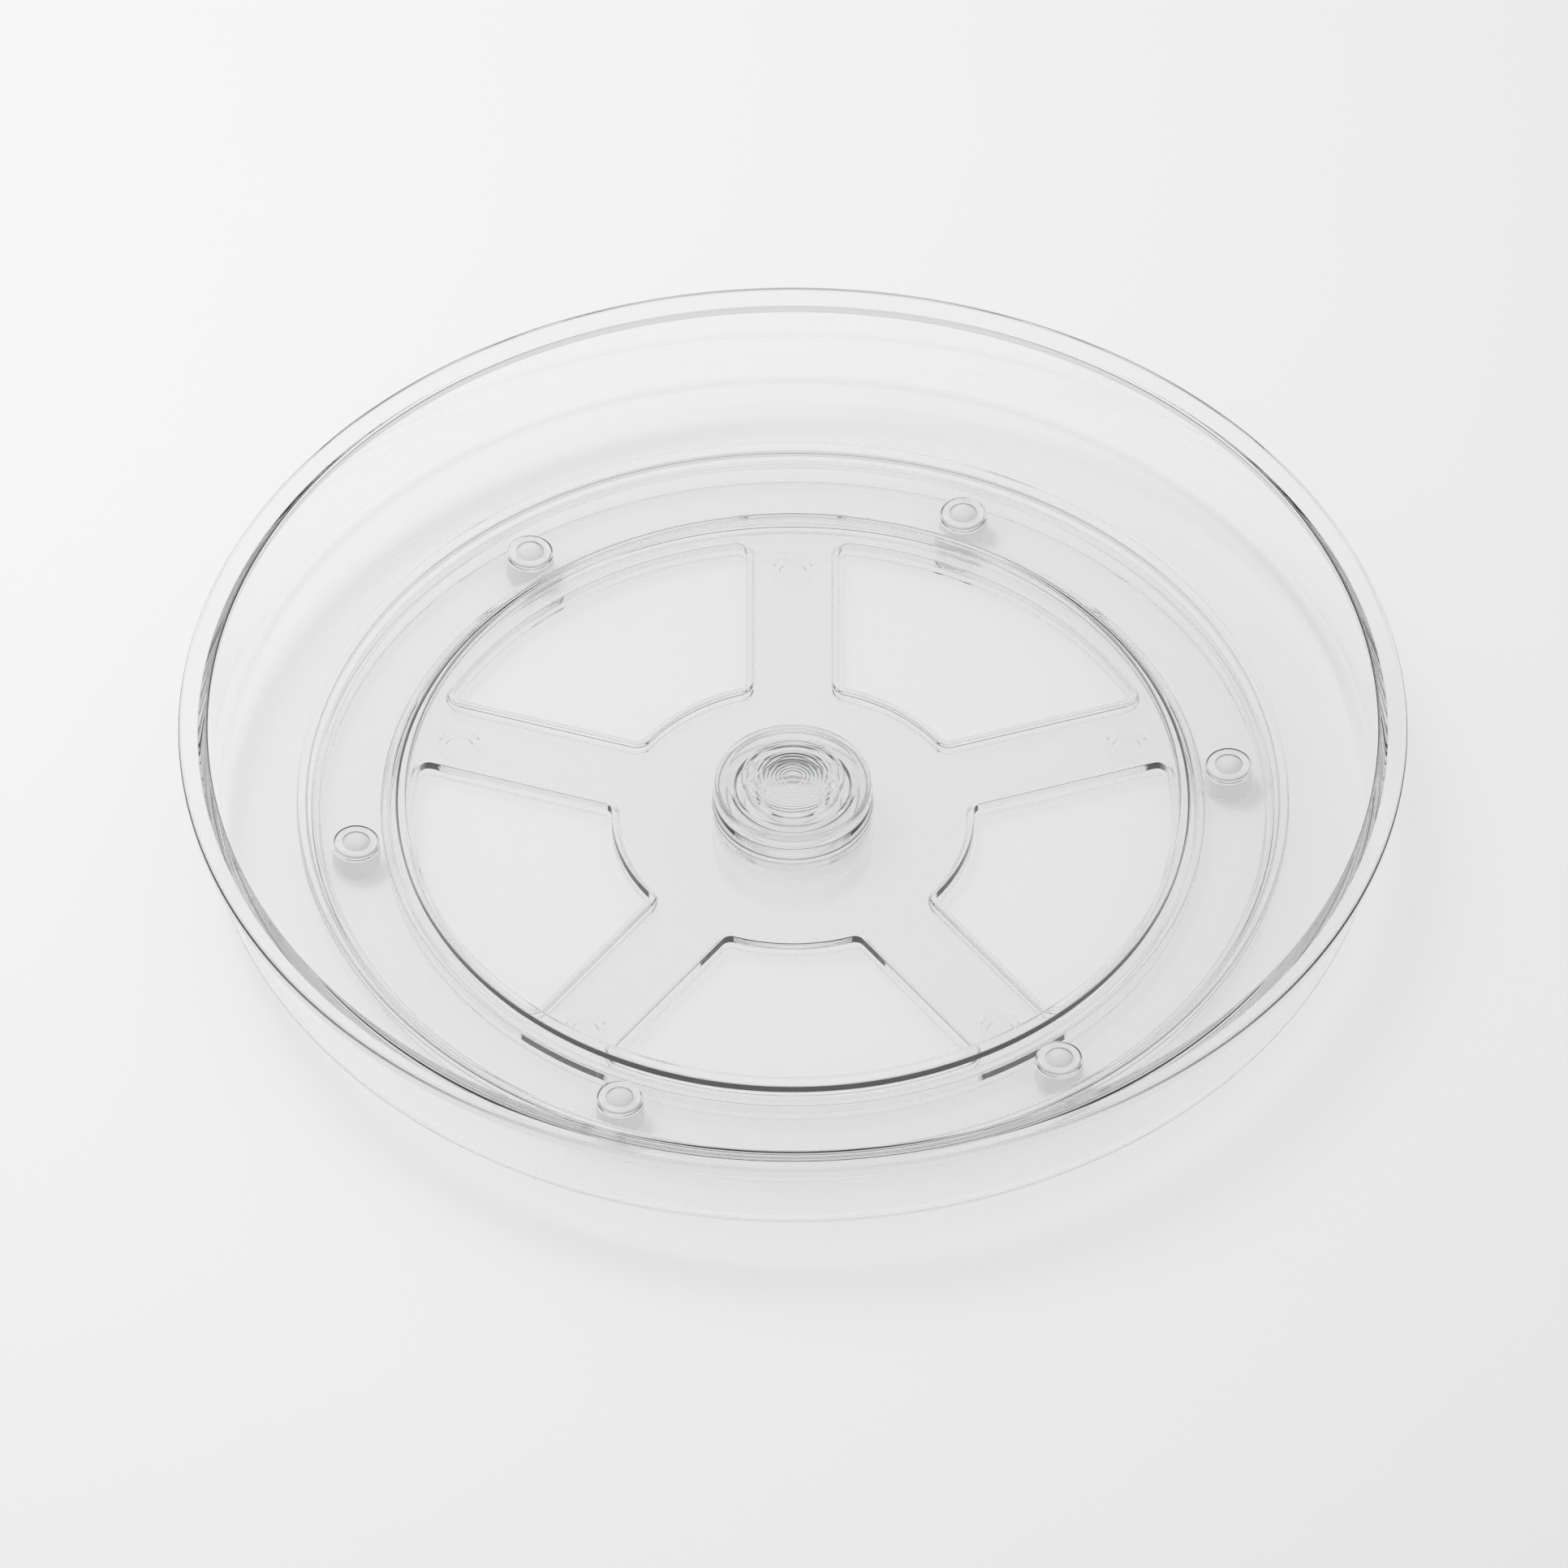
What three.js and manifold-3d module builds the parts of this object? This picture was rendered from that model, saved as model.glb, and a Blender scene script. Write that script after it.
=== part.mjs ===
// A clear moulded turntable tray: a round tray whose floor has a raised ring, under which it turns on
// six balls held in a spoked base.
// Millimetres, +Z up, the origin on the table under the middle of the tray.
import * as THREE from 'three';
import { mergeVertices } from 'three/addons/utils/BufferGeometryUtils.js';
import Module from 'manifold-3d';

const wasm = await Module();
wasm.setup();

// ---- Driving dimensions ----
const CLEARANCE = 0.3;
const RUNNING_GAP = 0.4;

// Tray
const RIM_R = 150;
const RIM_TOP_Z = 38.6;
const RIM_THICKNESS = 3.4;
const RIM_ROUND = 1.2;
const WALL_TOP_IN_R = 142.8;
const WALL_TOP_OUT_R = 145.2;
const FLOOR_TOP_Z = 10.8;
const TRAY_WALL = 2.2;
const CORNER_IN_ROUND = 6;
const CORNER_MID_R = 135.5;
const RIDGE_IN_R = 94.7;
const RIDGE_OUT_R = 121.2;
const RIDGE_TOP_Z = 13.4;
const COLLAR_R = 19.5;
const COLLAR_TOP_Z = 14.4;

// Base
const PAD_FOOT_Z = 0;
const BASE_FOOT_Z = 1.4;
const PLATE_TOP_Z = 5;
const PLATE_THICKNESS = 2;
const SPOKES = 5;
const FIRST_SPOKE_DEG = 90;
const SPOKE_WIDTH = 22.8;
const LIP = 1.6;
const LIP_TOP_Z = 6.1;
const OPENING_IN_R = 44.4;
const OPENING_OUT_R = 92.8;
const RING_IN_R = 98.5;
const RING_OUT_R = 117.8;
const RING_TOP_Z = 9.3;
const RING_WALL = 2;
const RING_IN_ROUND = 1.2;
const RING_OUT_ROUND = 1;
const OPENING_CORNER = 2.4;

// Pivot
const POST_OUT_R = 13.9;
const POST_BORE_R = 11.7;
const POST_TOP_Z = 14;
const WASHER_R = 19.5;
const CAP_R = 19.1;
const CAP_WAIST_R = 17.4;
const CAP_WAIST_TOP_Z = 16;
const CAP_FACE_R = 16.2;
const CAP_DISH_R = 12.6;
const CAP_TOP_Z = 19.6;
const CAP_SHOULDER = 1.2;
const CAP_DISH_DEPTH = 0.4;
const CAP_STEM_WALL = 2.2;
const CAP_STEM_FOOT_Z = 6;

// Balls and their cups
const BALLS = 6;
const BALL_CIRCLE_R = 107.5;
const BALL_R = 4;
const FIRST_BALL_DEG = 7;
const CUP_NECK_R = 5.2;
const CUP_FLANGE_R = 5.9;
const CUP_PROUD = 0.2;
const CUP_FLOOR = 1.2;

// Feet
const FOOT_CIRCLE_R = 86;
const FOOT_R = 5;
const FOOT_ROUND = 0.6;

// Facets round a full turn, and steps along each kind of arc
const FINE = 72;
const MEDIUM = 36;
const SMALL = 16;
const BALL_RINGS = 8;
const OUTLINE_STEPS = 4;
const ROUND_STEPS = 1;
const CORNER_STEPS = 4;
const RING_STEPS = 3;
const SOCKET_STEPS = 6;

// Points closer than this are one point
const WELD = 1e-4;

// Levels and radii that follow from the ones above
const PLATE_UNDER_Z = PLATE_TOP_Z - PLATE_THICKNESS;
const FLOOR_UNDER_Z = FLOOR_TOP_Z - TRAY_WALL;
const CORNER_MID_Z = FLOOR_TOP_Z + CORNER_IN_ROUND;
const RACE_Z = RIDGE_TOP_Z - TRAY_WALL;
const BALL_Z = RACE_Z - CLEARANCE - BALL_R;
const SOCKET_R = BALL_R + CLEARANCE;
const WASHER_FOOT_Z = PLATE_TOP_Z + CLEARANCE;
const WASHER_TOP_Z = FLOOR_UNDER_Z - RUNNING_GAP;
const TRAY_BORE_R = POST_OUT_R + RUNNING_GAP;

// ---- Helpers ----
const radians = THREE.MathUtils.degToRad;

// Points on an arc from one angle to another, in degrees, as [r, z] pairs.
function arc(r, z, radius, fromDeg, toDeg, steps) {
  return Array.from({ length: steps + 1 }, (_, i) => {
    const a = radians(fromDeg + ((toDeg - fromDeg) * i) / steps);
    return [r + radius * Math.cos(a), z + radius * Math.sin(a)];
  });
}

// A solid turned about Z from an anticlockwise outline of [r, z] pairs, closed on itself.
function turned(outline, segments) {
  const points = outline.map(([r, z]) => new THREE.Vector2(r, z));
  points.push(points[0].clone());
  const geometry = new THREE.LatheGeometry(points, segments);
  return geometry.rotateX(Math.PI / 2);
}

// A solid turned about Z from an outline that starts and ends on the axis.
function turnedSolid(outline, segments) {
  const points = outline.map(([r, z]) => new THREE.Vector2(r, z));
  return new THREE.LatheGeometry(points, segments).rotateX(Math.PI / 2);
}

function extruded(shape, fromZ, toZ) {
  const options = { depth: toZ - fromZ, bevelEnabled: false, curveSegments: OUTLINE_STEPS };
  return new THREE.ExtrudeGeometry(shape, options).translate(0, 0, fromZ);
}

function toManifold(geometry) {
  const bare = geometry.clone();
  bare.deleteAttribute('normal');
  bare.deleteAttribute('uv');
  const merged = mergeVertices(bare, WELD);
  return new wasm.Manifold(new wasm.Mesh({
    numProp: 3,
    vertProperties: new Float32Array(merged.attributes.position.array),
    triVerts: new Uint32Array(merged.index.array),
  }));
}

function toGeometry(manifold) {
  const mesh = manifold.getMesh();
  const geometry = new THREE.BufferGeometry();
  geometry.setAttribute('position', new THREE.BufferAttribute(mesh.vertProperties, 3));
  geometry.setIndex(new THREE.BufferAttribute(mesh.triVerts, 1));
  return geometry;
}

function plastic(color, roughness, opacity) {
  return new THREE.MeshStandardMaterial({
    color, roughness, opacity, metalness: 0, transparent: opacity < 1,
  });
}

function named(name, geometry, material) {
  const mesh = new THREE.Mesh(geometry, material);
  mesh.name = name;
  return mesh;
}

// ---- Tray ----
function trayOutline() {
  const rimUnderZ = RIM_TOP_Z - RIM_THICKNESS;
  const rimMidR = RIM_R - RIM_ROUND;
  const cornerOutRound = CORNER_IN_ROUND + TRAY_WALL;
  return [
    [TRAY_BORE_R, FLOOR_UNDER_Z],
    [RIDGE_IN_R + TRAY_WALL, FLOOR_UNDER_Z],
    [RIDGE_IN_R + TRAY_WALL, RACE_Z],
    [RIDGE_OUT_R - TRAY_WALL, RACE_Z],
    [RIDGE_OUT_R - TRAY_WALL, FLOOR_UNDER_Z],
    ...arc(CORNER_MID_R, CORNER_MID_Z, cornerOutRound, -90, 0, CORNER_STEPS),
    [WALL_TOP_OUT_R, rimUnderZ],
    ...arc(rimMidR, rimUnderZ + RIM_ROUND, RIM_ROUND, -90, 0, ROUND_STEPS),
    ...arc(rimMidR, RIM_TOP_Z - RIM_ROUND, RIM_ROUND, 0, 90, ROUND_STEPS),
    [WALL_TOP_IN_R, RIM_TOP_Z],
    ...arc(CORNER_MID_R, CORNER_MID_Z, CORNER_IN_ROUND, 0, -90, CORNER_STEPS),
    [RIDGE_OUT_R, FLOOR_TOP_Z],
    [RIDGE_OUT_R, RIDGE_TOP_Z],
    [RIDGE_IN_R, RIDGE_TOP_Z],
    [RIDGE_IN_R, FLOOR_TOP_Z],
    [COLLAR_R, FLOOR_TOP_Z],
    [COLLAR_R, COLLAR_TOP_Z],
    [TRAY_BORE_R, COLLAR_TOP_Z],
  ];
}

// ---- Base ----
function baseOutline() {
  return [
    [POST_BORE_R, PLATE_UNDER_Z],
    [RING_IN_R, PLATE_UNDER_Z],
    [RING_IN_R, BASE_FOOT_Z],
    [RING_IN_R + RING_WALL, BASE_FOOT_Z],
    [RING_IN_R + RING_WALL, RING_TOP_Z - RING_WALL],
    [RING_OUT_R - RING_WALL, RING_TOP_Z - RING_WALL],
    [RING_OUT_R - RING_WALL, BASE_FOOT_Z],
    [RING_OUT_R, BASE_FOOT_Z],
    ...arc(RING_OUT_R - RING_OUT_ROUND, RING_TOP_Z - RING_OUT_ROUND, RING_OUT_ROUND, 0, 90, ROUND_STEPS),
    ...arc(RING_IN_R + RING_IN_ROUND, RING_TOP_Z - RING_IN_ROUND, RING_IN_ROUND, 90, 180, RING_STEPS),
    [RING_IN_R, PLATE_TOP_Z],
    [POST_OUT_R, PLATE_TOP_Z],
    [POST_OUT_R, POST_TOP_Z],
    [POST_BORE_R, POST_TOP_Z],
  ];
}

// The space between two spokes, grown outwards by an offset, with its middle along +X.
function openingShape(offset) {
  const halfTurn = Math.PI / SPOKES;
  const inR = OPENING_IN_R - offset;
  const outR = OPENING_OUT_R + offset;
  const corner = OPENING_CORNER + offset;
  const centreV = SPOKE_WIDTH / 2 - offset + corner;
  const outerU = Math.sqrt((outR - corner) ** 2 - centreV ** 2);
  const innerU = Math.sqrt((inR + corner) ** 2 - centreV ** 2);
  const outerLean = Math.atan2(centreV, outerU);
  const innerLean = Math.atan2(centreV, innerU);
  const place = (u, v, side) => {
    const turn = new THREE.Vector2(u, side * v);
    return turn.rotateAround(new THREE.Vector2(), -side * halfTurn);
  };
  const lowOuter = place(outerU, centreV, 1);
  const highOuter = place(outerU, centreV, -1);
  const highInner = place(innerU, centreV, -1);
  const lowInner = place(innerU, centreV, 1);
  const quarter = Math.PI / 2;
  const shape = new THREE.Shape();
  shape.absarc(lowOuter.x, lowOuter.y, corner, -halfTurn - quarter, outerLean - halfTurn, false);
  shape.absarc(0, 0, outR, outerLean - halfTurn, halfTurn - outerLean, false);
  shape.absarc(highOuter.x, highOuter.y, corner, halfTurn - outerLean, halfTurn + quarter, false);
  shape.absarc(highInner.x, highInner.y, corner, halfTurn + quarter, halfTurn - innerLean + Math.PI, false);
  shape.absarc(0, 0, inR, halfTurn - innerLean, innerLean - halfTurn, true);
  shape.absarc(
    lowInner.x, lowInner.y, corner,
    innerLean - halfTurn + Math.PI, 3 * quarter - halfTurn, false,
  );
  return shape;
}

function baseGeometry() {
  let base = toManifold(turned(baseOutline(), FINE));
  const lip = toManifold(extruded(openingShape(LIP), BASE_FOOT_Z, LIP_TOP_Z));
  const opening = toManifold(extruded(openingShape(0), -RING_TOP_Z, LIP_TOP_Z + CLEARANCE));
  const holeR = CUP_NECK_R + CLEARANCE;
  const drill = new THREE.CylinderGeometry(holeR, holeR, RING_TOP_Z, SMALL).rotateX(Math.PI / 2);
  const hole = toManifold(drill.translate(BALL_CIRCLE_R, 0, RING_TOP_Z));
  for (let i = 0; i < SPOKES; i += 1) {
    const turn = [0, 0, FIRST_SPOKE_DEG + ((i + 0.5) * 360) / SPOKES];
    base = base.add(lip.rotate(turn)).subtract(opening.rotate(turn));
  }
  for (let i = 0; i < BALLS; i += 1) {
    base = base.subtract(hole.rotate([0, 0, FIRST_BALL_DEG + (i * 360) / BALLS]));
  }
  return toGeometry(base);
}

// ---- Pivot pieces ----
function washerOutline() {
  return [
    [TRAY_BORE_R, WASHER_FOOT_Z],
    [WASHER_R, WASHER_FOOT_Z],
    [WASHER_R, WASHER_TOP_Z],
    [TRAY_BORE_R, WASHER_TOP_Z],
  ];
}

function capOutline() {
  const stemR = POST_BORE_R - CLEARANCE;
  const footZ = COLLAR_TOP_Z + CLEARANCE;
  return [
    [0, footZ],
    [stemR - CAP_STEM_WALL, footZ],
    [stemR - CAP_STEM_WALL, CAP_STEM_FOOT_Z],
    [stemR, CAP_STEM_FOOT_Z],
    [stemR, footZ],
    [CAP_WAIST_R, footZ],
    [CAP_WAIST_R, CAP_WAIST_TOP_Z],
    [CAP_R, CAP_WAIST_TOP_Z],
    [CAP_R, CAP_TOP_Z - CAP_SHOULDER],
    [CAP_FACE_R, CAP_TOP_Z],
    [CAP_DISH_R, CAP_TOP_Z],
    [CAP_DISH_R - CAP_DISH_DEPTH, CAP_TOP_Z - CAP_DISH_DEPTH],
    [0, CAP_TOP_Z - CAP_DISH_DEPTH],
  ];
}

// ---- Balls, cups and feet ----
function cupOutline() {
  const lipZ = RING_TOP_Z + CUP_PROUD;
  const flangeTopZ = RING_TOP_Z - RING_WALL - CLEARANCE;
  const footZ = BALL_Z - SOCKET_R - CUP_FLOOR;
  const mouthDeg = THREE.MathUtils.radToDeg(Math.asin((lipZ - BALL_Z) / SOCKET_R));
  return [
    [0, footZ],
    [CUP_FLANGE_R, footZ],
    [CUP_FLANGE_R, flangeTopZ],
    [CUP_NECK_R, flangeTopZ],
    [CUP_NECK_R, lipZ],
    ...arc(0, BALL_Z, SOCKET_R, mouthDeg, -90, SOCKET_STEPS),
  ];
}

function ballGeometry() {
  const sphere = new THREE.SphereGeometry(BALL_R, SMALL, BALL_RINGS);
  return sphere.rotateX(Math.PI / 2).translate(0, 0, BALL_Z);
}

function footOutline() {
  const topZ = PLATE_UNDER_Z - CLEARANCE;
  return [
    [0, PAD_FOOT_Z],
    [FOOT_R - FOOT_ROUND, PAD_FOOT_Z],
    [FOOT_R, PAD_FOOT_Z + FOOT_ROUND],
    [FOOT_R, topZ],
    [0, topZ],
  ];
}

function addAround(group, count, name, firstDeg, radius, makeGeometry, material) {
  for (let i = 0; i < count; i += 1) {
    const angle = radians(firstDeg + (i * 360) / count);
    const mesh = named(`${name}_${i + 1}`, makeGeometry(), material.clone());
    mesh.position.set(radius * Math.cos(angle), radius * Math.sin(angle), 0);
    mesh.rotation.z = angle;
    group.add(mesh);
  }
}

// ---- Assembly ----
const clearBase = plastic(0xe9ebec, 0.04, 0.3);
const clearTray = plastic(0xedeff0, 0.03, 0.25);
const clearCap = plastic(0xe4e6e7, 0.12, 0.45);
const washerPlastic = plastic(0xe2e3e4, 0.2, 0.5);
const milkyCup = plastic(0xe8e8e6, 0.35, 0.75);
const milkyBall = plastic(0xdcdcda, 0.15, 0.9);
const softFoot = plastic(0xe6e7e7, 0.5, 0.4);

const turntable = new THREE.Group();

const base = new THREE.Group();
base.add(named('base_wheel', baseGeometry(), clearBase));
base.add(named('pivot_cap', turnedSolid(capOutline(), MEDIUM), clearCap));
base.add(named('thrust_washer', turned(washerOutline(), MEDIUM), washerPlastic));
const cup = () => turnedSolid(cupOutline(), SMALL);
addAround(base, BALLS, 'ball_cup', FIRST_BALL_DEG, BALL_CIRCLE_R, cup, milkyCup);
const foot = () => turnedSolid(footOutline(), SMALL);
addAround(base, SPOKES, 'foot_pad', FIRST_SPOKE_DEG, FOOT_CIRCLE_R, foot, softFoot);

const tray = new THREE.Group();
tray.add(named('tray', turned(trayOutline(), FINE), clearTray));

const balls = new THREE.Group();
addAround(balls, BALLS, 'ball', FIRST_BALL_DEG, BALL_CIRCLE_R, ballGeometry, milkyBall);

turntable.add(base, tray, balls);

export default turntable;
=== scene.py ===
import math

import bpy
from mathutils import Matrix, Vector
from mathutils.geometry import tessellate_polygon


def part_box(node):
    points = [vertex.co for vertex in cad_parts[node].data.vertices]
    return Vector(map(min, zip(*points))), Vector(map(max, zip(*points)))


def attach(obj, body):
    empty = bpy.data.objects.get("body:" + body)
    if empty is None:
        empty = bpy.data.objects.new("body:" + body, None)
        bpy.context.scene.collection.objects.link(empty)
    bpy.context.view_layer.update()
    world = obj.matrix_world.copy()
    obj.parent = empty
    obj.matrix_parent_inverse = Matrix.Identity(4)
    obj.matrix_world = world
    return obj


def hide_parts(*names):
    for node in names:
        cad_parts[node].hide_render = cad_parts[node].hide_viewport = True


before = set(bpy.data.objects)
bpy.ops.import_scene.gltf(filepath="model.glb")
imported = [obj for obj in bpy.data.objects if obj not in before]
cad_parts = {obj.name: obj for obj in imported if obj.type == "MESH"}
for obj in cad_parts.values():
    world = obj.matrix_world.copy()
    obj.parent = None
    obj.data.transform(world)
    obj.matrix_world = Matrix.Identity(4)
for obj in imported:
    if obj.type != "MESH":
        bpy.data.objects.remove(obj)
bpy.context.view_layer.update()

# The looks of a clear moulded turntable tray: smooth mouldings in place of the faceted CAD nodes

# Shapes are in millimetres, and Blender's own sizes in metres
MM = 0.001


def limits(node):
    """A CAD node's lowest and highest corner, in millimetres."""
    return [[value / MM for value in corner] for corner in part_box(node)]


# ---- Sizes that the frame gives ----
(_, _, FLOOR_UNDER_Z), (RIM_R, _, RIM_TOP_Z) = limits("tray")
(_, _, BASE_FOOT_Z), (RING_OUT_R, _, POST_TOP_Z) = limits("base_wheel")
(_, _, STEM_FOOT_Z), (CAP_R, _, CAP_TOP_Z) = limits("pivot_cap")
(_, _, WASHER_FOOT_Z), (WASHER_R, _, WASHER_TOP_Z) = limits("thrust_washer")
(_, _, BALL_FOOT_Z), (_, _, BALL_TOP_Z) = limits("ball_1")
(_, _, CUP_FOOT_Z), (_, _, CUP_LIP_Z) = limits("ball_cup_1")
(_, _, PAD_FOOT_Z), (_, _, PAD_TOP_Z) = limits("foot_pad_1")

# ---- Tray ----
RIM_THICKNESS = 3.4
RIM_ROUND = 1.2
RIM_IN_ROUND = 0.9
WALL_TOP_IN_R = 142.8
WALL_TOP_OUT_R = 145.2
WALL_FOOT_IN_R = 141.1
WALL_FOOT_OUT_R = 143.0
TRAY_WALL = 2.2
CORNER_IN_ROUND = 6.0
RIDGE_IN_R = 94.7
RIDGE_OUT_R = 121.2
RIDGE_TOP_Z = 13.4
COLLAR_R = 19.5
COLLAR_TOP_Z = 14.4
TRAY_BORE_R = 14.3

# ---- Base ----
PLATE_TOP_Z = 5.0
PLATE_UNDER_Z = 3.0
SPOKES = 5
FIRST_SPOKE = math.radians(90)
SPOKE_HALF_WIDTH = 11.4
LIP = 1.6
LIP_TOP_Z = 6.1
OPENING_IN_R = 44.4
OPENING_OUT_R = 92.8
OPENING_CORNER = 2.4
RING_IN_R = 98.5
RING_TOP_Z = 9.3
RING_WALL = 2.0
RING_IN_ROUND = 1.2
RING_OUT_ROUND = 1.0
POST_OUT_R = 13.9
POST_BORE_R = 11.7

# ---- Cap ----
CAP_FOOT_Z = 14.7
CAP_WAIST_R = 17.4
CAP_WAIST_TOP_Z = 16.0
CAP_SHOULDER = 1.2
CAP_FACE_R = 16.2
CAP_DISH_R = 12.6
CAP_DISH_DEPTH = 0.4
CAP_GROOVES = 11
CAP_GROOVE_DEPTH = 0.08
CAP_NUB_R = 0.9
FROST_FOOT_Z = 18.8
CAP_NUB_HEIGHT = 0.25
STEM_R = 11.4
STEM_BORE_R = 9.2

# ---- Balls, cups and feet ----
BALLS = 6
BALL_SEAM = 0.03
SEAM_SHARPNESS = 512
CUP_NECK_R = 5.2
CUP_FLANGE_R = 5.9
CUP_FLANGE_TOP_Z = 7.0
CUP_HOLE_R = 5.5
SOCKET_R = 4.3
PAD_R = 5.0
PAD_GROOVE_R = 3.2
PAD_GROOVE_DEPTH = 0.3

# Rounding of edges that the tool leaves and of inside corners
SHARP_EDGE = 0.1
EDGE = 0.3
SOFT_EDGE = 0.5
FILLET = 0.4

# Points round a full turn, and the longest step along an arc
TURN_STEPS = 720
SMALL_TURN_STEPS = 64
ARC_STEP = math.radians(9)
OUTLINE_CHORD = 1.0

BALL_R = (BALL_TOP_Z - BALL_FOOT_Z) / 2
BALL_Z = (BALL_TOP_Z + BALL_FOOT_Z) / 2
RIM_UNDER_Z = RIM_TOP_Z - RIM_THICKNESS
RING_UNDER_Z = RING_TOP_Z - RING_WALL


# ---- Mesh helpers ----
class Shell:
    """A closed surface gathered face by face, with the exact normal at each corner."""

    def __init__(self):
        self.index = {}
        self.faces = []
        self.normals = []

    def face(self, corners):
        """Adds a face from (point, normal) corners, wound so that it faces the way its normals do."""
        ids = [self.index.setdefault(tuple(round(c, 4) for c in p), len(self.index)) for p, _ in corners]
        keep = [k for k in range(len(ids)) if ids[k] != ids[k - 1]]
        if len(keep) < 3:
            return
        points = [Vector(corners[k][0]) for k in keep]
        across = (points[1] - points[0]).cross(points[-1] - points[0])
        if across.dot(sum((Vector(corners[k][1]) for k in keep), Vector())) < 0:
            keep.reverse()
        self.faces.append([ids[k] for k in keep])
        self.normals += [corners[k][1] for k in keep]

    def sweep(self, outline, profile):
        """Carries a profile of (out, z, normal_out, normal_z) round an outline of (x, y, way_x, way_y)."""
        for a, b in zip(outline, outline[1:] + outline[:1]):
            for p, q in zip(profile, profile[1:]):
                self.face([placed(a, p), placed(b, p), placed(b, q), placed(a, q)])

    def flat(self, z, side, *loops):
        """Fills the level area between an outer loop and the loops inside it; side is 1 or -1."""
        points = [point for loop in loops for point in loop]
        for triangle in tessellate_polygon([[Vector((x, y, 0)) for x, y in loop] for loop in loops]):
            self.face([((*points[k], z), (0, 0, side)) for k in triangle])

    def piece(self, name, material):
        mesh = bpy.data.meshes.new(name)
        mesh.from_pydata([[c * MM for c in point] for point in self.index], [], self.faces)
        mesh.polygons.foreach_set("use_smooth", [True] * len(self.faces))
        mesh.normals_split_custom_set(self.normals)
        mesh.materials.append(material)
        made = bpy.data.objects.new(name, mesh)
        bpy.context.scene.collection.objects.link(made)
        return made


def placed(spot, sample):
    """The (point, normal) of a profile sample at one spot of an outline."""
    x, y, way_x, way_y = spot
    out, z, normal_out, normal_z = sample
    point = (x + way_x * out, y + way_y * out, z)
    return point, (way_x * normal_out, way_y * normal_out, normal_z)


def circle(steps, x=0.0, y=0.0):
    """An outline that turns a profile about the upright axis through (x, y)."""
    angles = [math.tau * k / steps for k in range(steps)]
    return [(x, y, math.cos(a), math.sin(a)) for a in angles]


def bend(x, y, radius, start, end, side):
    """Outline along an arc about (x, y); the air is outside the arc for side 1, and inside it for -1."""
    steps = math.ceil(abs(end - start) / min(ARC_STEP, OUTLINE_CHORD / radius))
    angles = [start + (end - start) * k / steps for k in range(steps + 1)]
    return [(x + radius * math.cos(a), y + radius * math.sin(a), side * math.cos(a), side * math.sin(a))
            for a in angles]


def loop(outline, out):
    """An outline's points moved by a distance towards the air."""
    return [(x + way_x * out, y + way_y * out) for x, y, way_x, way_y in outline]


def rounded(*corners):
    """A profile through (out, z, radius) corners with the solid on its left, and each corner rounded."""
    points = [Vector(corner[:2]) for corner in corners]
    ways = [(b - a).normalized() for a, b in zip(points, points[1:])]
    normals = [Vector((way.y, -way.x)) for way in ways]
    profile = [(*points[0], *normals[0])]
    for k in range(1, len(points) - 1):
        before, after, radius = ways[k - 1], ways[k], corners[k][2]
        turn = math.atan2(before.x * after.y - before.y * after.x, before.dot(after))
        side = math.copysign(1, turn)
        start = points[k] - before * radius * math.tan(abs(turn) / 2)
        centre = start - normals[k - 1] * radius * side
        steps = math.ceil(abs(turn) / ARC_STEP) if radius else 1
        for step in range(steps + 1):
            normal = Matrix.Rotation(turn * step / steps, 2) @ normals[k - 1]
            profile.append((*(centre + normal * radius * side), *normal))
    return profile + [(*points[-1], *normals[-1])]


# ---- Shapes ----
def tray_shell():
    shell = Shell()
    middle_z = (FLOOR_UNDER_Z + COLLAR_TOP_Z) / 2
    floor_top_z = FLOOR_UNDER_Z + TRAY_WALL
    race_z = RIDGE_TOP_Z - TRAY_WALL
    shell.sweep(circle(TURN_STEPS), rounded(
        (TRAY_BORE_R, middle_z, 0),
        (TRAY_BORE_R, FLOOR_UNDER_Z, EDGE),
        (RIDGE_IN_R + TRAY_WALL, FLOOR_UNDER_Z, SOFT_EDGE),
        (RIDGE_IN_R + TRAY_WALL, race_z, FILLET),
        (RIDGE_OUT_R - TRAY_WALL, race_z, FILLET),
        (RIDGE_OUT_R - TRAY_WALL, FLOOR_UNDER_Z, SOFT_EDGE),
        (WALL_FOOT_OUT_R, FLOOR_UNDER_Z, CORNER_IN_ROUND + TRAY_WALL),
        (WALL_TOP_OUT_R, RIM_UNDER_Z, FILLET),
        (RIM_R, RIM_UNDER_Z, RIM_ROUND),
        (RIM_R, RIM_TOP_Z, RIM_ROUND),
        (WALL_TOP_IN_R, RIM_TOP_Z, RIM_IN_ROUND),
        (WALL_FOOT_IN_R, floor_top_z, CORNER_IN_ROUND),
        (RIDGE_OUT_R, floor_top_z, FILLET),
        (RIDGE_OUT_R, RIDGE_TOP_Z, SOFT_EDGE),
        (RIDGE_IN_R, RIDGE_TOP_Z, SOFT_EDGE),
        (RIDGE_IN_R, floor_top_z, FILLET),
        (COLLAR_R, floor_top_z, FILLET),
        (COLLAR_R, COLLAR_TOP_Z, EDGE),
        (TRAY_BORE_R, COLLAR_TOP_Z, EDGE),
        (TRAY_BORE_R, middle_z, 0),
    ))
    return shell


def corner_of(radius, across):
    """How far round from a spoke's middle a corner's centre stands, at that radius and distance across."""
    return math.asin(across / radius)


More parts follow.
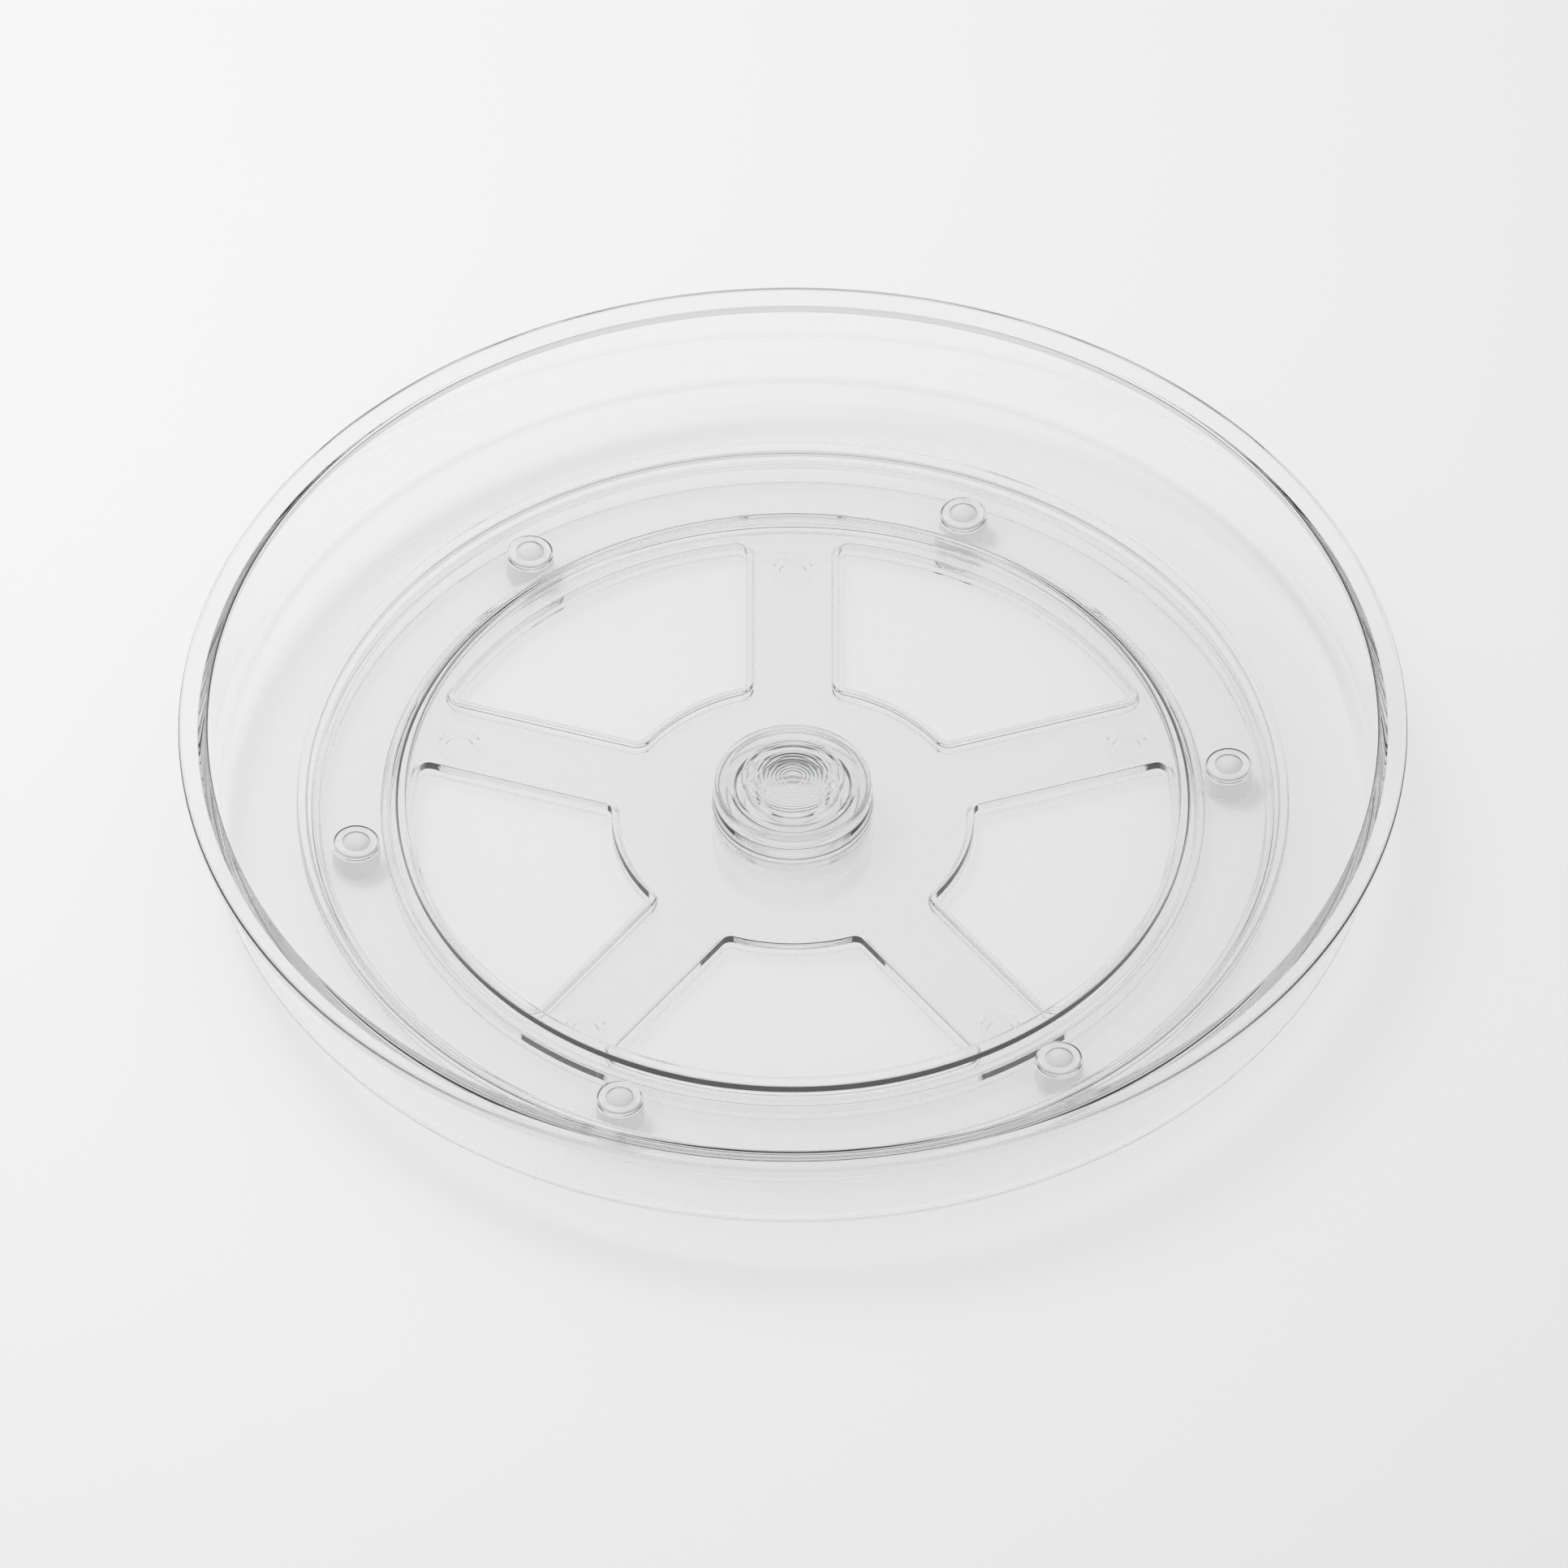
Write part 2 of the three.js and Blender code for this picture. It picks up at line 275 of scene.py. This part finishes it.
def opening_outline(spoke):
    """The open space from one spoke to the next, air inside."""
    following = spoke + math.tau / SPOKES
    across = SPOKE_HALF_WIDTH + OPENING_CORNER
    outer_r = OPENING_OUT_R - OPENING_CORNER
    inner_r = OPENING_IN_R + OPENING_CORNER
    outer = corner_of(outer_r, across)
    inner = corner_of(inner_r, across)
    quarter = math.pi / 2

    def corner(radius, angle, start, end):
        x, y = radius * math.cos(angle), radius * math.sin(angle)
        return bend(x, y, OPENING_CORNER, start, end, -1)

    return [
        *corner(outer_r, spoke + outer, spoke - quarter, spoke + outer),
        *bend(0, 0, OPENING_OUT_R, spoke + outer, following - outer, -1)[1:-1],
        *corner(outer_r, following - outer, following - outer, following + quarter),
        *corner(inner_r, following - inner, following + quarter, following - inner + math.pi),
        *bend(0, 0, OPENING_IN_R, following - inner, spoke + inner, 1)[1:-1],
        *corner(inner_r, spoke + inner, spoke + inner + math.pi, spoke + 3 * quarter),
    ]


def middle_of(node):
    """A CAD node's middle seen from above, in millimetres."""
    low, high = limits(node)
    return [(low[k] + high[k]) / 2 for k in (0, 1)]


def hole_outline(cup):
    """The hole that a cup stands in, air inside."""
    x, y = middle_of(cup)
    return [(x - CUP_HOLE_R * a, y - CUP_HOLE_R * b, a, b) for _, _, a, b in circle(SMALL_TURN_STEPS)]


def base_shell():
    shell = Shell()
    turn = circle(TURN_STEPS)
    openings = [opening_outline(FIRST_SPOKE + math.tau * k / SPOKES) for k in range(SPOKES)]
    cup_holes = [hole_outline(f"ball_cup_{k + 1}") for k in range(BALLS)]
    ring_under_in_r = RING_IN_R + RING_WALL + SOFT_EDGE
    ring_under_out_r = RING_OUT_R - RING_WALL - SOFT_EDGE
    plate_out_r = RING_IN_R - FILLET
    post_foot_r = POST_OUT_R + 2 * FILLET
    lip_foot = -LIP - FILLET

    shell.sweep(turn, rounded(
        (plate_out_r, PLATE_UNDER_Z, 0),
        (RING_IN_R, PLATE_UNDER_Z, FILLET),
        (RING_IN_R, BASE_FOOT_Z, FILLET),
        (RING_IN_R + RING_WALL, BASE_FOOT_Z, FILLET),
        (RING_IN_R + RING_WALL, RING_UNDER_Z, SOFT_EDGE),
        (ring_under_in_r, RING_UNDER_Z, 0),
    ))
    shell.sweep(turn, rounded(
        (ring_under_out_r, RING_UNDER_Z, 0),
        (RING_OUT_R - RING_WALL, RING_UNDER_Z, SOFT_EDGE),
        (RING_OUT_R - RING_WALL, BASE_FOOT_Z, FILLET),
        (RING_OUT_R, BASE_FOOT_Z, FILLET),
        (RING_OUT_R, RING_TOP_Z, RING_OUT_ROUND),
        (RING_OUT_R - RING_OUT_ROUND, RING_TOP_Z, 0),
    ))
    shell.sweep(turn, rounded(
        (RING_IN_R + RING_IN_ROUND, RING_TOP_Z, 0),
        (RING_IN_R, RING_TOP_Z, RING_IN_ROUND),
        (RING_IN_R, PLATE_TOP_Z, FILLET),
        (plate_out_r, PLATE_TOP_Z, 0),
    ))
    shell.sweep(turn, rounded(
        (post_foot_r, PLATE_TOP_Z, 0),
        (POST_OUT_R, PLATE_TOP_Z, 2 * FILLET),
        (POST_OUT_R, POST_TOP_Z, FILLET),
        (POST_BORE_R, POST_TOP_Z, EDGE),
        (POST_BORE_R, PLATE_UNDER_Z, EDGE),
        (POST_BORE_R + EDGE, PLATE_UNDER_Z, 0),
    ))
    for outline in openings:
        shell.sweep(outline, rounded(
            (lip_foot, PLATE_UNDER_Z, 0),
            (-LIP, PLATE_UNDER_Z, FILLET),
            (-LIP, BASE_FOOT_Z, EDGE),
            (0, BASE_FOOT_Z, EDGE),
            (0, LIP_TOP_Z, EDGE),
            (-LIP, LIP_TOP_Z, EDGE),
            (-LIP, PLATE_TOP_Z, FILLET),
            (lip_foot, PLATE_TOP_Z, 0),
        ))
    for outline in cup_holes:
        shell.sweep(outline, rounded(
            (-EDGE, RING_UNDER_Z, 0),
            (0, RING_UNDER_Z, EDGE),
            (0, RING_TOP_Z, EDGE),
            (-EDGE, RING_TOP_Z, 0),
        ))
    opening_loops = [loop(outline, lip_foot) for outline in openings]
    hole_loops = [loop(outline, -EDGE) for outline in cup_holes]
    shell.flat(PLATE_TOP_Z, 1, loop(turn, plate_out_r), loop(turn, post_foot_r), *opening_loops)
    shell.flat(PLATE_UNDER_Z, -1, loop(turn, plate_out_r), loop(turn, POST_BORE_R + EDGE), *opening_loops)
    shell.flat(RING_UNDER_Z, -1, loop(turn, ring_under_out_r), loop(turn, ring_under_in_r), *hole_loops)
    shell.flat(RING_TOP_Z, 1, loop(turn, RING_OUT_R - RING_OUT_ROUND),
               loop(turn, RING_IN_R + RING_IN_ROUND), *hole_loops)
    return shell


def cap_shell():
    shell = Shell()
    dish_z = CAP_TOP_Z - CAP_DISH_DEPTH
    pitch = (CAP_DISH_R - CAP_DISH_DEPTH - 2 * CAP_NUB_R) / (CAP_GROOVES + 0.5)
    grooves = []
    for k in range(CAP_GROOVES):
        out = CAP_DISH_R - CAP_DISH_DEPTH - pitch * (k + 0.5)
        grooves.append((out, dish_z, pitch / 4))
        grooves.append((out - pitch / 4, dish_z - CAP_GROOVE_DEPTH, pitch / 8))
        grooves.append((out - pitch / 2, dish_z, pitch / 4))
    shell.sweep(circle(TURN_STEPS), rounded(
        (0, CAP_FOOT_Z, 0),
        (STEM_BORE_R, CAP_FOOT_Z, FILLET),
        (STEM_BORE_R, STEM_FOOT_Z, EDGE),
        (STEM_R, STEM_FOOT_Z, SOFT_EDGE),
        (STEM_R, CAP_FOOT_Z, FILLET),
        (CAP_WAIST_R, CAP_FOOT_Z, EDGE),
        (CAP_WAIST_R, CAP_WAIST_TOP_Z, EDGE),
        (CAP_R, CAP_WAIST_TOP_Z, EDGE),
        (CAP_R, CAP_TOP_Z - CAP_SHOULDER, SOFT_EDGE),
        (CAP_FACE_R, CAP_TOP_Z, SOFT_EDGE),
        (CAP_DISH_R, CAP_TOP_Z, EDGE),
        (CAP_DISH_R - CAP_DISH_DEPTH, dish_z, EDGE),
        *grooves,
        (CAP_NUB_R, dish_z, SHARP_EDGE),
        (CAP_NUB_R, dish_z + CAP_NUB_HEIGHT, SHARP_EDGE),
        (0, dish_z + CAP_NUB_HEIGHT, 0),
    ))
    return shell


def washer_shell():
    shell = Shell()
    middle_z = (WASHER_FOOT_Z + WASHER_TOP_Z) / 2
    shell.sweep(circle(TURN_STEPS), rounded(
        (TRAY_BORE_R, middle_z, 0),
        (TRAY_BORE_R, WASHER_FOOT_Z, EDGE),
        (WASHER_R, WASHER_FOOT_Z, SOFT_EDGE),
        (WASHER_R, WASHER_TOP_Z, SOFT_EDGE),
        (TRAY_BORE_R, WASHER_TOP_Z, EDGE),
        (TRAY_BORE_R, middle_z, 0),
    ))
    return shell


def ball_shell(x, y):
    """A ball with the faint raised seam that its mould leaves."""
    shell = Shell()
    profile = []
    steps = SMALL_TURN_STEPS
    for k in range(steps + 1):
        a = math.pi * (k / steps - 0.5)
        radius = BALL_R - BALL_SEAM + BALL_SEAM * math.cos(a) ** SEAM_SHARPNESS
        profile.append((radius * math.cos(a), BALL_Z + radius * math.sin(a), math.cos(a), math.sin(a)))
    shell.sweep(circle(steps, x, y), profile)
    return shell


def cup_shell(x, y):
    shell = Shell()
    mouth = math.asin((CUP_LIP_Z - BALL_Z) / SOCKET_R)
    mouth_r = SOCKET_R * math.cos(mouth)
    outside = rounded(
        (0, CUP_FOOT_Z, 0),
        (CUP_FLANGE_R, CUP_FOOT_Z, SOFT_EDGE),
        (CUP_FLANGE_R, CUP_FLANGE_TOP_Z, EDGE),
        (CUP_NECK_R, CUP_FLANGE_TOP_Z, EDGE / 2),
        (CUP_NECK_R, CUP_LIP_Z, EDGE),
        (mouth_r, CUP_LIP_Z, 0),
    )
    steps = SMALL_TURN_STEPS // 2
    angles = [mouth - (mouth + math.pi / 2) * k / steps for k in range(steps + 1)]
    socket = [(SOCKET_R * math.cos(a), BALL_Z + SOCKET_R * math.sin(a), -math.cos(a), -math.sin(a))
              for a in angles]
    shell.sweep(circle(SMALL_TURN_STEPS, x, y), outside + socket)
    return shell


def pad_shell(x, y):
    shell = Shell()
    shell.sweep(circle(SMALL_TURN_STEPS, x, y), rounded(
        (0, PAD_FOOT_Z + PAD_GROOVE_DEPTH, 0),
        (PAD_GROOVE_R, PAD_FOOT_Z + PAD_GROOVE_DEPTH, SHARP_EDGE),
        (PAD_GROOVE_R + PAD_GROOVE_DEPTH, PAD_FOOT_Z, SHARP_EDGE),
        (PAD_R, PAD_FOOT_Z, SOFT_EDGE),
        (PAD_R, PAD_TOP_Z, SOFT_EDGE),
        (0, PAD_TOP_Z, 0),
    ))
    return shell


# ---- Materials ----
POLISH_SCALE = 14.0
MARKS_SCALE = 900.0
WAVES_SCALE = 70.0
ACRYLIC_IOR = 1.53
NATURAL_IOR = 1.5
# Low, because a real pad clings to the base, and the gap that stands in for that would show
PAD_IOR = 1.12
RIPPLE = 0.01
LAMP_BLEND = 0.35
LAMP_FACING = 0.995
LAMP_GRAZING = 0.87
MILKY_LAMP_FACING = 0.95
MILKY_LAMP_GRAZING = 0.7


def linked(tree, kind, **inputs):
    """A new node; each input is a value or the output that feeds it, named with _ for a space."""
    made = tree.nodes.new(kind)
    for name, value in inputs.items():
        socket = made.inputs[name.replace("_", " ")]
        if isinstance(value, bpy.types.NodeSocket):
            tree.links.new(value, socket)
        else:
            socket.default_value = value
    return made


def combined(tree, operation, first, second):
    """The output of a Math node that works on two outputs."""
    made = linked(tree, "ShaderNodeMath", Value=first)
    made.operation = operation
    tree.links.new(second, made.inputs[1])
    return made.outputs[0]


def new_material(name):
    material = bpy.data.materials.new(name)
    material.use_nodes = True
    material.node_tree.nodes.clear()
    return material, material.node_tree


def moulded(tree, smallest, largest, ripple):
    """Roughness and bump of a moulded surface: slow changes in polish, fine handling marks, faint ripples."""
    where = tree.nodes.new("ShaderNodeTexCoord").outputs["Object"]
    polish = linked(tree, "ShaderNodeTexNoise", Vector=where, Scale=POLISH_SCALE, Detail=2.0)
    marks = linked(tree, "ShaderNodeTexNoise", Vector=where, Scale=MARKS_SCALE, Detail=3.0)
    share = combined(tree, "MULTIPLY", polish.outputs["Fac"], marks.outputs["Fac"])
    roughness = linked(tree, "ShaderNodeMapRange", Value=share, From_Min=0.1, From_Max=0.45,
                       To_Min=smallest, To_Max=largest)
    waves = linked(tree, "ShaderNodeTexNoise", Vector=where, Scale=WAVES_SCALE, Detail=1.0)
    bump = linked(tree, "ShaderNodeBump", Height=waves.outputs["Fac"], Strength=ripple, Distance=MM)
    return roughness.outputs[0], bump.outputs[0]


def lamp_side(tree, facing, grazing):
    """What rays from lamps pass: most of the light head on, and less through surfaces that they graze."""
    weight = linked(tree, "ShaderNodeLayerWeight", Blend=LAMP_BLEND)
    shade = linked(tree, "ShaderNodeMapRange", Value=weight.outputs["Facing"],
                   To_Min=facing, To_Max=grazing)
    return linked(tree, "ShaderNodeBsdfTransparent", Color=shade.outputs[0]).outputs[0]


def lit_through(tree, shader, facing, grazing):
    """Lets lamps light what is behind a clear shader."""
    path = tree.nodes.new("ShaderNodeLightPath")
    either = combined(tree, "MAXIMUM", path.outputs["Is Shadow Ray"], path.outputs["Is Diffuse Ray"])
    mixed = tree.nodes.new("ShaderNodeMixShader")
    tree.links.new(either, mixed.inputs[0])
    tree.links.new(shader, mixed.inputs[1])
    tree.links.new(lamp_side(tree, facing, grazing), mixed.inputs[2])
    linked(tree, "ShaderNodeOutputMaterial", Surface=mixed.outputs[0])


def frosted(tree, roughness, frost):
    """A fine frost on the cap's top, which stands above its glossy bevel."""
    where = tree.nodes.new("ShaderNodeTexCoord").outputs["Object"]
    parts = linked(tree, "ShaderNodeSeparateXYZ", Vector=where)
    top = linked(tree, "ShaderNodeMapRange", Value=parts.outputs["Z"], From_Min=FROST_FOOT_Z * MM,
                 From_Max=(FROST_FOOT_Z + EDGE) * MM, To_Max=frost)
    return combined(tree, "MAXIMUM", roughness, top.outputs[0])


def clear_plastic(name, tint, ior, smallest, largest, ripple=0.0,
                  facing=LAMP_FACING, grazing=LAMP_GRAZING, frost=0.0):
    """Clear plastic with a polish between two roughnesses, and a frosted top if asked for."""
    material, tree = new_material(name)
    roughness, normal = moulded(tree, smallest, largest, ripple)
    if frost:
        roughness = frosted(tree, roughness, frost)
    shader = linked(tree, "ShaderNodeBsdfPrincipled", Base_Color=(*tint, 1), IOR=ior,
                    Transmission_Weight=1.0, Roughness=roughness, Normal=normal)
    lit_through(tree, shader.outputs[0], facing, grazing)
    return material


def milky_plastic(name, tint, clearness, smallest, largest):
    """Natural plastic that scatters light inside and lets some through."""
    material, tree = new_material(name)
    roughness, normal = moulded(tree, smallest, largest, RIPPLE)
    shader = linked(tree, "ShaderNodeBsdfPrincipled", Base_Color=(*tint, 1), IOR=NATURAL_IOR,
                    Transmission_Weight=clearness, Roughness=roughness, Normal=normal)
    lit_through(tree, shader.outputs[0], MILKY_LAMP_FACING, MILKY_LAMP_GRAZING)
    return material


def table_material():
    material, tree = new_material("pale_table")
    where = tree.nodes.new("ShaderNodeTexCoord").outputs["Object"]
    grain = linked(tree, "ShaderNodeTexNoise", Vector=where, Scale=3.0, Detail=4.0)
    tone = linked(tree, "ShaderNodeMapRange", Value=grain.outputs["Fac"], To_Min=0.79, To_Max=0.81)
    shader = linked(tree, "ShaderNodeBsdfPrincipled", Base_Color=tone.outputs[0], Roughness=0.9,
                    Specular_IOR_Level=0.1)
    linked(tree, "ShaderNodeOutputMaterial", Surface=shader.outputs[0])
    return material


# ---- Assembly ----
def fitted(shell, node, body, material):
    piece = shell.piece(f"{node}_moulding", material)
    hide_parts(node)
    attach(piece, body)


def build_object():
    tray = clear_plastic("clear_tray", (1.0, 1.0, 1.0), ACRYLIC_IOR, 0.0, 0.004, grazing=0.83)
    base = clear_plastic("clear_base", (0.998, 1.0, 1.0), ACRYLIC_IOR, 0.0, 0.006)
    cap = clear_plastic("clear_cap", (0.985, 0.988, 0.99), ACRYLIC_IOR, 0.0, 0.01, frost=0.14)
    washer = clear_plastic("clear_washer", (0.985, 0.988, 0.988), NATURAL_IOR, 0.02, 0.08, RIPPLE)
    pad = clear_plastic("soft_pad", (0.995, 0.995, 0.995), PAD_IOR, 0.02, 0.08, RIPPLE,
                        facing=1.0, grazing=0.97)
    cup = milky_plastic("milky_cup", (0.94, 0.94, 0.935), 0.5, 0.06, 0.14)
    ball = milky_plastic("milky_ball", (0.93, 0.93, 0.925), 0.5, 0.02, 0.1)
    fitted(tray_shell(), "tray", "tray", tray)
    fitted(base_shell(), "base_wheel", "base", base)
    fitted(cap_shell(), "pivot_cap", "base", cap)
    fitted(washer_shell(), "thrust_washer", "base", washer)
    for k in range(1, BALLS + 1):
        fitted(cup_shell(*middle_of(f"ball_cup_{k}")), f"ball_cup_{k}", "base", cup)
        fitted(ball_shell(*middle_of(f"ball_{k}")), f"ball_{k}", f"ball_{k}", ball)
    for k in range(1, SPOKES + 1):
        fitted(pad_shell(*middle_of(f"foot_pad_{k}")), f"foot_pad_{k}", "base", pad)


# ---- Studio ----
TABLE_HALF = 6.0
CAMERA_LENS = 843.0
SENSOR_WIDTH = 36
CAMERA_REACH = 100
CAMERA_DISTANCE = 9.0
CAMERA_ELEVATION = math.radians(46.152)
CAMERA_TARGET = Vector((-0.00217, 0.01644, 0.0))
KEY_PLACE = Vector((-0.45, 0.30, 1.30))
KEY_SIZE = 0.42
KEY_POWER = 9.6
WORLD_LEVEL = 0.7
WORLD_DARK = 0.02
# Where the studio turns from dark to bright: by how high a ray points, and by how far behind
SKY_FOOT = 0.1
SKY_FULL = 0.5
BACK_FOOT = 0.2
BACK_FULL = 0.7
BOUNCES = 24
GLOSSY_BOUNCES = 12
TRANSPARENT_BOUNCES = 40


def add_table():
    mesh = bpy.data.meshes.new("table")
    corners = [(-1, -1), (1, -1), (1, 1), (-1, 1)]
    mesh.from_pydata([(x * TABLE_HALF, y * TABLE_HALF, 0) for x, y in corners], [], [(0, 1, 2, 3)])
    mesh.materials.append(table_material())
    table = bpy.data.objects.new("table", mesh)
    bpy.context.scene.collection.objects.link(table)


def aim(thing, target):
    thing.rotation_euler = (target - thing.location).to_track_quat("-Z", "Y").to_euler()


def add_key_light():
    lamp = bpy.data.lights.new("key", "AREA")
    lamp.size = KEY_SIZE
    lamp.energy = KEY_POWER
    light = bpy.data.objects.new("key", lamp)
    light.location = KEY_PLACE
    light.visible_camera = False
    light.visible_transmission = False
    light.visible_glossy = False
    bpy.context.scene.collection.objects.link(light)
    aim(light, Vector((0, 0, 0)))


def add_world():
    """A studio that is bright overhead and behind, and dark low down at the sides and in front."""
    world = bpy.data.worlds.new("studio")
    world.use_nodes = True
    tree = world.node_tree
    tree.nodes.clear()
    way = tree.nodes.new("ShaderNodeTexCoord").outputs["Generated"]
    parts = linked(tree, "ShaderNodeSeparateXYZ", Vector=way)
    high = linked(tree, "ShaderNodeMapRange", Value=parts.outputs["Z"], From_Min=SKY_FOOT,
                  From_Max=SKY_FULL, To_Min=WORLD_DARK)
    behind = linked(tree, "ShaderNodeMapRange", Value=parts.outputs["Y"], From_Min=BACK_FOOT,
                    From_Max=BACK_FULL, To_Min=WORLD_DARK)
    level = combined(tree, "MAXIMUM", high.outputs[0], behind.outputs[0])
    background = linked(tree, "ShaderNodeBackground", Color=level, Strength=WORLD_LEVEL)
    linked(tree, "ShaderNodeOutputWorld", Surface=background.outputs[0])
    bpy.context.scene.world = world


def add_camera():
    lens = bpy.data.cameras.new("camera")
    lens.lens = CAMERA_LENS
    lens.sensor_width = SENSOR_WIDTH
    lens.clip_end = CAMERA_REACH
    camera = bpy.data.objects.new("camera", lens)
    back = Vector((0, -math.cos(CAMERA_ELEVATION), math.sin(CAMERA_ELEVATION)))
    camera.location = CAMERA_TARGET + back * CAMERA_DISTANCE
    bpy.context.scene.collection.objects.link(camera)
    aim(camera, CAMERA_TARGET)
    bpy.context.scene.camera = camera


def light_transport():
    """Enough bounces for light to find its way through the stacked clear walls."""
    scene = bpy.context.scene
    scene.view_settings.view_transform = "Standard"
    scene.cycles.max_bounces = BOUNCES
    scene.cycles.transmission_bounces = BOUNCES
    scene.cycles.glossy_bounces = GLOSSY_BOUNCES
    scene.cycles.transparent_max_bounces = TRANSPARENT_BOUNCES
    scene.cycles.caustics_reflective = False
    scene.cycles.caustics_refractive = False


add_camera()
build_object()
add_table()
add_key_light()
add_world()
light_transport()
